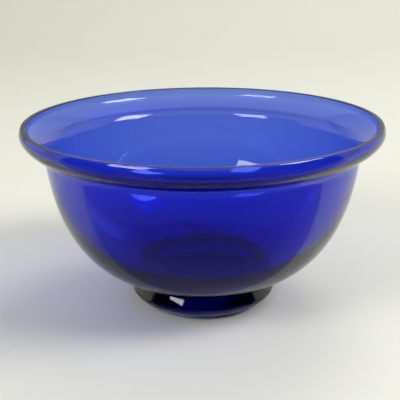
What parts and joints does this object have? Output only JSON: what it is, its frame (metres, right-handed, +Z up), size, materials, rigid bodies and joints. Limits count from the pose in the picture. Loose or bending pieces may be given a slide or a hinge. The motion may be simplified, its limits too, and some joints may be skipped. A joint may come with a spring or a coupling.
{
  "type": "glass bowl",
  "caption": "Round footed bowl of transparent cobalt blue glass, with a turned-out collar, a flat ground rim and a rounded hollow ring foot.",
  "frame": {"origin": "on the bowl's axis, on the surface that the foot stands on", "axes": "+Z up along the bowl's axis of symmetry, X and Y level and free to choose"},
  "size_m": [0.2394, 0.2394, 0.1261],
  "materials": {
    "bowl_glass": "clear cobalt blue, fire polished, with a flat ground rim",
    "foot_glass": "clear cobalt blue, tooled hot, with a worn flat underside"
  },
  "bodies": {
    "root": {"bowl": "bowl_glass", "foot": "foot_glass"}
  },
  "joints": []
}
